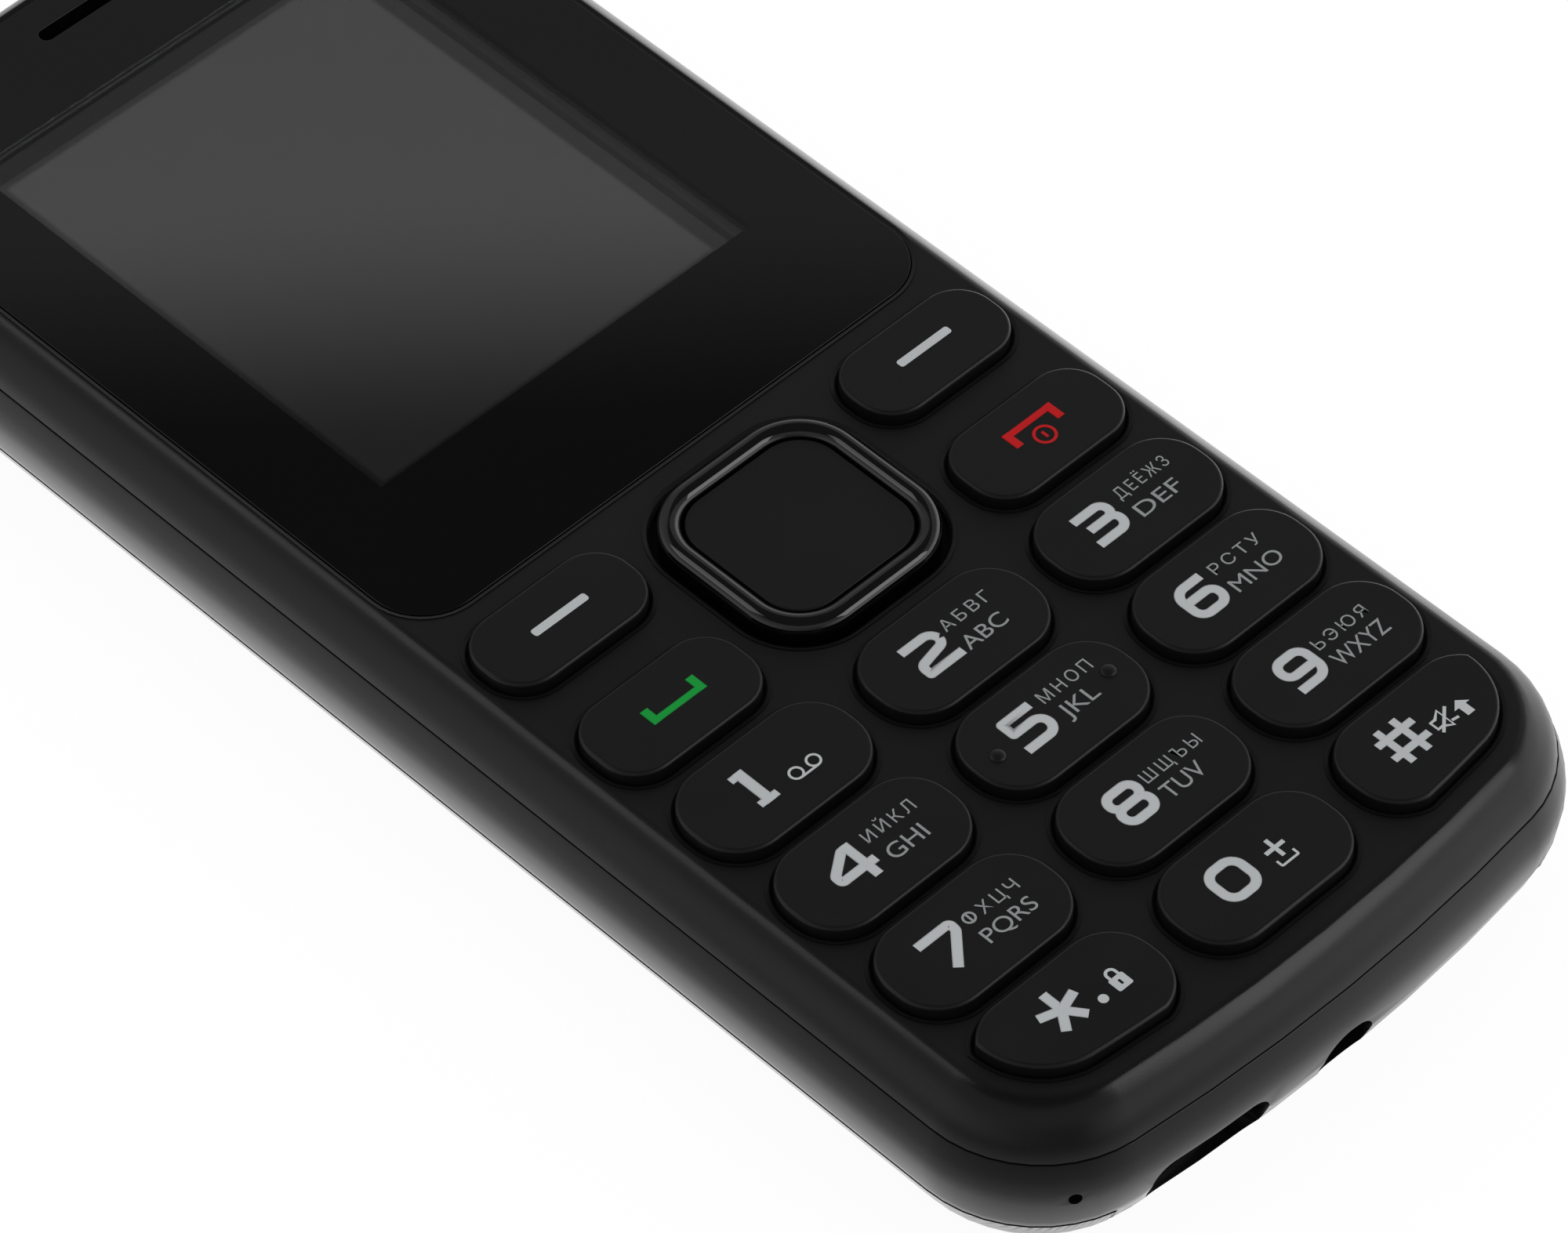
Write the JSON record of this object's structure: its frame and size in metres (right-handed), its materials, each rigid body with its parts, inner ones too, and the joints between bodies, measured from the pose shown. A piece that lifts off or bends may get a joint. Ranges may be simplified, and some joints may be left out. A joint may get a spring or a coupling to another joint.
{
  "type": "feature phone",
  "caption": "Candybar keypad phone with a small screen behind a flat lens, a navigation ring, dial keys, end ports and a pull-off battery cover.",
  "frame": {"origin": "middle of the flat back that the phone lies on", "axes": "+X to the right of the face, +Y from the ports to the earpiece, +Z out of the face"},
  "size_m": [0.0508, 0.1168, 0.0157],
  "materials": {
    "face_plastic": "fine satin texture",
    "key_plastic": "satin",
    "ring_gloss": "polished",
    "lens": "polished, back-printed black with a clear window",
    "adhesive": "dull",
    "lcd_glass": "screen off",
    "steel": "bright",
    "mesh": "woven",
    "silicone": "soft",
    "film": "clear film",
    "board": "solder resist",
    "black_plastic": "moulded",
    "black_gloss": "moulded",
    "window_glass": "polished",
    "weight": "sintered",
    "flex": "film",
    "rear_plastic": "satin",
    "brass_strip": "bare",
    "battery_wrap": "film wrap",
    "cover_plastic": "fine ribs"
  },
  "bodies": {
    "phone": {"front_housing": "face_plastic", "display_lens": "lens", "lens_adhesive": "adhesive", "lcd_panel": "lcd_glass", "lcd_frame": "steel", "earpiece_mesh": "mesh", "earpiece_receiver": "steel", "keypad_mat": "silicone", "dome_sheet": "film", "main_board": "board", "shield_can": "steel", "sim_holder": "steel", "battery_contacts": "black_plastic", "camera_module": "black_plastic", "loudspeaker": "black_plastic", "vibration_motor": "steel", "port_board": "board", "usb_connector": "steel", "audio_jack": "black_gloss", "microphone": "steel", "port_flex": "flex", "rear_housing": "rear_plastic", "antenna_carrier": "black_plastic", "antenna": "brass_strip", "housing_screws": "steel"},
    "soft_key_left": {"soft_key_left": "key_plastic"},
    "soft_key_right": {"soft_key_right": "key_plastic"},
    "call_key": {"call_key": "key_plastic"},
    "end_key": {"end_key": "key_plastic"},
    "key_1": {"key_1": "key_plastic"},
    "key_2": {"key_2": "key_plastic"},
    "key_3": {"key_3": "key_plastic"},
    "key_4": {"key_4": "key_plastic"},
    "key_5": {"key_5": "key_plastic"},
    "key_6": {"key_6": "key_plastic"},
    "key_7": {"key_7": "key_plastic"},
    "key_8": {"key_8": "key_plastic"},
    "key_9": {"key_9": "key_plastic"},
    "key_star": {"key_star": "key_plastic"},
    "key_0": {"key_0": "key_plastic"},
    "key_hash": {"key_hash": "key_plastic"},
    "ok_key": {"ok_key": "key_plastic"},
    "nav_base": {"nav_base": "silicone"},
    "nav_ring": {"nav_ring": "ring_gloss"},
    "battery_cover": {"battery_cover": "cover_plastic", "camera_window": "window_glass"},
    "battery": {"battery": "battery_wrap"},
    "motor_weight": {"motor_weight": "weight"}
  },
  "joints": [
    {"name": "soft_key_left_press", "type": "slide", "parent": "phone", "child": "soft_key_left", "axis": [0, 0, -1], "range_m": [0, 0.0003], "stiffness_N_per_m": 500},
    {"name": "soft_key_right_press", "type": "slide", "parent": "phone", "child": "soft_key_right", "axis": [0, 0, -1], "range_m": [0, 0.0003], "stiffness_N_per_m": 500},
    {"name": "call_key_press", "type": "slide", "parent": "phone", "child": "call_key", "axis": [0, 0, -1], "range_m": [0, 0.0003], "stiffness_N_per_m": 500},
    {"name": "end_key_press", "type": "slide", "parent": "phone", "child": "end_key", "axis": [0, 0, -1], "range_m": [0, 0.0003], "stiffness_N_per_m": 500},
    {"name": "key_1_press", "type": "slide", "parent": "phone", "child": "key_1", "axis": [0, 0, -1], "range_m": [0, 0.0003], "stiffness_N_per_m": 500},
    {"name": "key_2_press", "type": "slide", "parent": "phone", "child": "key_2", "axis": [0, 0, -1], "range_m": [0, 0.0003], "stiffness_N_per_m": 500},
    {"name": "key_3_press", "type": "slide", "parent": "phone", "child": "key_3", "axis": [0, 0, -1], "range_m": [0, 0.0003], "stiffness_N_per_m": 500},
    {"name": "key_4_press", "type": "slide", "parent": "phone", "child": "key_4", "axis": [0, 0, -1], "range_m": [0, 0.0003], "stiffness_N_per_m": 500},
    {"name": "key_5_press", "type": "slide", "parent": "phone", "child": "key_5", "axis": [0, 0, -1], "range_m": [0, 0.0003], "stiffness_N_per_m": 500},
    {"name": "key_6_press", "type": "slide", "parent": "phone", "child": "key_6", "axis": [0, 0, -1], "range_m": [0, 0.0003], "stiffness_N_per_m": 500},
    {"name": "key_7_press", "type": "slide", "parent": "phone", "child": "key_7", "axis": [0, 0, -1], "range_m": [0, 0.0003], "stiffness_N_per_m": 500},
    {"name": "key_8_press", "type": "slide", "parent": "phone", "child": "key_8", "axis": [0, 0, -1], "range_m": [0, 0.0003], "stiffness_N_per_m": 500},
    {"name": "key_9_press", "type": "slide", "parent": "phone", "child": "key_9", "axis": [0, 0, -1], "range_m": [0, 0.0003], "stiffness_N_per_m": 500},
    {"name": "key_star_press", "type": "slide", "parent": "phone", "child": "key_star", "axis": [0, 0, -1], "range_m": [0, 0.0003], "stiffness_N_per_m": 500},
    {"name": "key_0_press", "type": "slide", "parent": "phone", "child": "key_0", "axis": [0, 0, -1], "range_m": [0, 0.0003], "stiffness_N_per_m": 500},
    {"name": "key_hash_press", "type": "slide", "parent": "phone", "child": "key_hash", "axis": [0, 0, -1], "range_m": [0, 0.0003], "stiffness_N_per_m": 500},
    {"name": "ok_key_press", "type": "slide", "parent": "phone", "child": "ok_key", "axis": [0, 0, -1], "range_m": [0, 0.0003], "stiffness_N_per_m": 500},
    {"name": "nav_up_down", "type": "hinge", "parent": "phone", "child": "nav_base", "pos_m": [0, -0.01235, 0.01098], "axis": [1, 0, 0], "range_deg": [-1.8, 1.8], "stiffness_Nm_per_rad": 0.3},
    {"name": "nav_left_right", "type": "hinge", "parent": "nav_base", "child": "nav_ring", "pos_m": [0, -0.01235, 0.01298], "axis": [0, 1, 0], "range_deg": [-1.8, 1.8], "stiffness_Nm_per_rad": 0.3},
    {"name": "battery_cover_pull", "type": "slide", "parent": "phone", "child": "battery_cover", "axis": [0, 0, -1], "range_m": [0, 0.02]},
    {"name": "battery_lift", "type": "slide", "parent": "phone", "child": "battery", "axis": [0, 0, -1], "range_m": [0, 0.01]},
    {"name": "motor_spin", "type": "hinge", "parent": "phone", "child": "motor_weight", "pos_m": [0.012, 0.03789, 0.00615], "axis": [0, 1, 0], "continuous": true}
  ],
  "couplings": [
    {"joint": "battery_lift", "follows": "battery_cover_pull", "ratio": 0.5}
  ]
}
